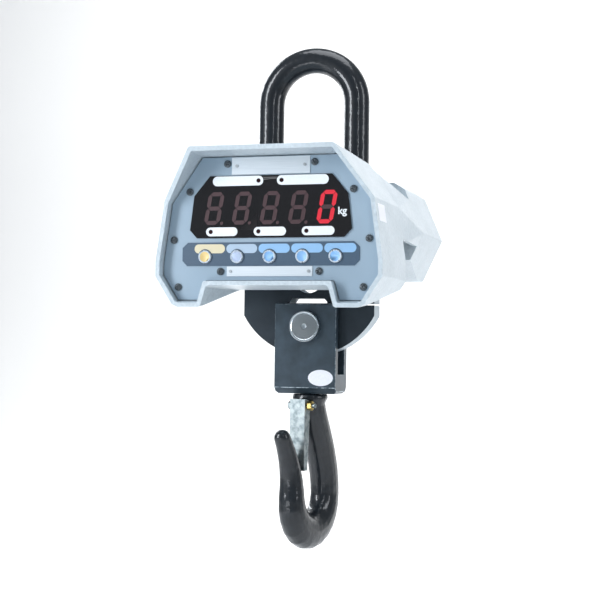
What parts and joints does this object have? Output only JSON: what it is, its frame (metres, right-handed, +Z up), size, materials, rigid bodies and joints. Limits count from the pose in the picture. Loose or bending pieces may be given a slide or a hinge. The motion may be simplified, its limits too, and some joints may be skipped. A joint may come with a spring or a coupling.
{
  "type": "crane scale",
  "caption": "Hanging crane scale with a shackle, a disc load cell between pinned yokes, a visored display housing, a battery box behind and a swivel hook with a safety latch.",
  "frame": {"origin": "the seat inside the top of the shackle's bow, where the crane hook that carries the scale bears", "axes": "+Z up along the load line, -Y out of the face with the display, +X to the right of someone reading the display"},
  "size_m": [0.272, 0.3714, 0.631],
  "materials": {
    "gloss_black_steel": "gloss black enamel",
    "pin_steel": "ground steel",
    "zinc_steel": "zinc plated",
    "dark_steel": "satin black-oxide",
    "cell_steel": "dull nickel",
    "housing": "hammertone enamel over cast aluminium",
    "alu": "turned",
    "panel": "blue-grey lacquer",
    "plate": "satin",
    "black_plastic": "moulded",
    "window": "dark acrylic",
    "led_plastic": "dark face",
    "red_lens": "clear tinted",
    "board": "glass epoxy board",
    "strip": "printed film",
    "key_yellow": "moulded",
    "key_grey": "moulded",
    "key_blue": "moulded",
    "rubber": "moulded",
    "brass": "dull",
    "battery": null,
    "gauge_film": "polyimide film"
  },
  "bodies": {
    "shackle_body": {"shackle": "gloss_black_steel", "shackle_pin": "pin_steel", "cotter_pin": "zinc_steel"},
    "upper_yoke_body": {"upper_yoke": "dark_steel", "upper_pin": "pin_steel", "upper_pin_ring": "zinc_steel"},
    "scale_body": {"load_cell": "cell_steel", "strain_gauges": "gauge_film", "cell_cable": "rubber", "front_standoffs": "alu", "front_bolts": "zinc_steel", "rear_spacers": "alu", "rear_bolts": "zinc_steel", "front_housing": "housing", "centre_cover": "housing", "cover_screws": "zinc_steel", "front_panel": "panel", "panel_gasket": "rubber", "panel_screws": "zinc_steel", "display_window": "window", "digit_modules": "led_plastic", "indicator_leds": "red_lens", "display_board": "board", "button_strip": "strip", "button_switches": "board", "name_plate": "plate", "rating_plate": "plate", "plate_rivets": "alu", "main_board": "board", "board_standoffs": "brass", "board_screws": "zinc_steel", "wall_grommets": "rubber", "power_lead": "rubber", "battery_box": "housing", "rear_cover": "housing", "rear_cover_gasket": "rubber", "rear_cover_screws": "zinc_steel", "battery_pack": "battery", "battery_clamp": "zinc_steel", "door_hinge_pin": "pin_steel", "charging_socket": "black_plastic"},
    "button_1": {"button_1": "key_yellow"},
    "button_2": {"button_2": "key_grey"},
    "button_3": {"button_3": "key_blue"},
    "button_4": {"button_4": "key_blue"},
    "button_5": {"button_5": "key_blue"},
    "battery_door": {"battery_door": "black_plastic"},
    "lower_yoke_body": {"lower_yoke": "dark_steel", "lower_pin": "pin_steel", "lower_pin_ring": "zinc_steel", "bearing_washer_low": "pin_steel", "bearing_balls": "pin_steel"},
    "hook_body": {"hook": "gloss_black_steel", "hook_nut": "zinc_steel", "hook_nut_pin": "zinc_steel", "bearing_washer_high": "pin_steel", "latch_bolt": "zinc_steel", "latch_nut": "brass"},
    "latch_body": {"latch": "zinc_steel", "latch_spring": "zinc_steel"}
  },
  "joints": [
    {"name": "shackle_swing", "type": "hinge", "parent": "shackle_body", "child": "upper_yoke_body", "pos_m": [0, 0, -0.141], "axis": [1, 0, 0], "range_deg": [-30, 30]},
    {"name": "cell_tilt", "type": "hinge", "parent": "upper_yoke_body", "child": "scale_body", "pos_m": [0, 0, -0.2], "axis": [0, 1, 0], "range_deg": [-5, 5]},
    {"name": "yoke_tilt", "type": "hinge", "parent": "scale_body", "child": "lower_yoke_body", "pos_m": [0, 0, -0.321], "axis": [0, 1, 0], "range_deg": [-12, 12]},
    {"name": "hook_swivel", "type": "hinge", "parent": "lower_yoke_body", "child": "hook_body", "pos_m": [0, 0, -0.4045], "axis": [0, 0, 1], "continuous": true},
    {"name": "latch_hinge", "type": "hinge", "parent": "hook_body", "child": "latch_body", "pos_m": [-0.0052, -0.02445, -0.419], "axis": [0.9781, -0.2079, 0], "range_deg": [0, 25], "stiffness_Nm_per_rad": 0.03, "springref_deg": -34.38},
    {"name": "battery_door_hinge", "type": "hinge", "parent": "scale_body", "child": "battery_door", "pos_m": [0, 0.1569, -0.2435], "axis": [-1, 0, 0], "range_deg": [0, 110]},
    {"name": "button_1_press", "type": "slide", "parent": "scale_body", "child": "button_1", "axis": [0, 1, 0], "range_m": [0, 0.0015], "stiffness_N_per_m": 600, "springref_m": -0.0005},
    {"name": "button_2_press", "type": "slide", "parent": "scale_body", "child": "button_2", "axis": [0, 1, 0], "range_m": [0, 0.0015], "stiffness_N_per_m": 600, "springref_m": -0.0005},
    {"name": "button_3_press", "type": "slide", "parent": "scale_body", "child": "button_3", "axis": [0, 1, 0], "range_m": [0, 0.0015], "stiffness_N_per_m": 600, "springref_m": -0.0005},
    {"name": "button_4_press", "type": "slide", "parent": "scale_body", "child": "button_4", "axis": [0, 1, 0], "range_m": [0, 0.0015], "stiffness_N_per_m": 600, "springref_m": -0.0005},
    {"name": "button_5_press", "type": "slide", "parent": "scale_body", "child": "button_5", "axis": [0, 1, 0], "range_m": [0, 0.0015], "stiffness_N_per_m": 600, "springref_m": -0.0005}
  ]
}
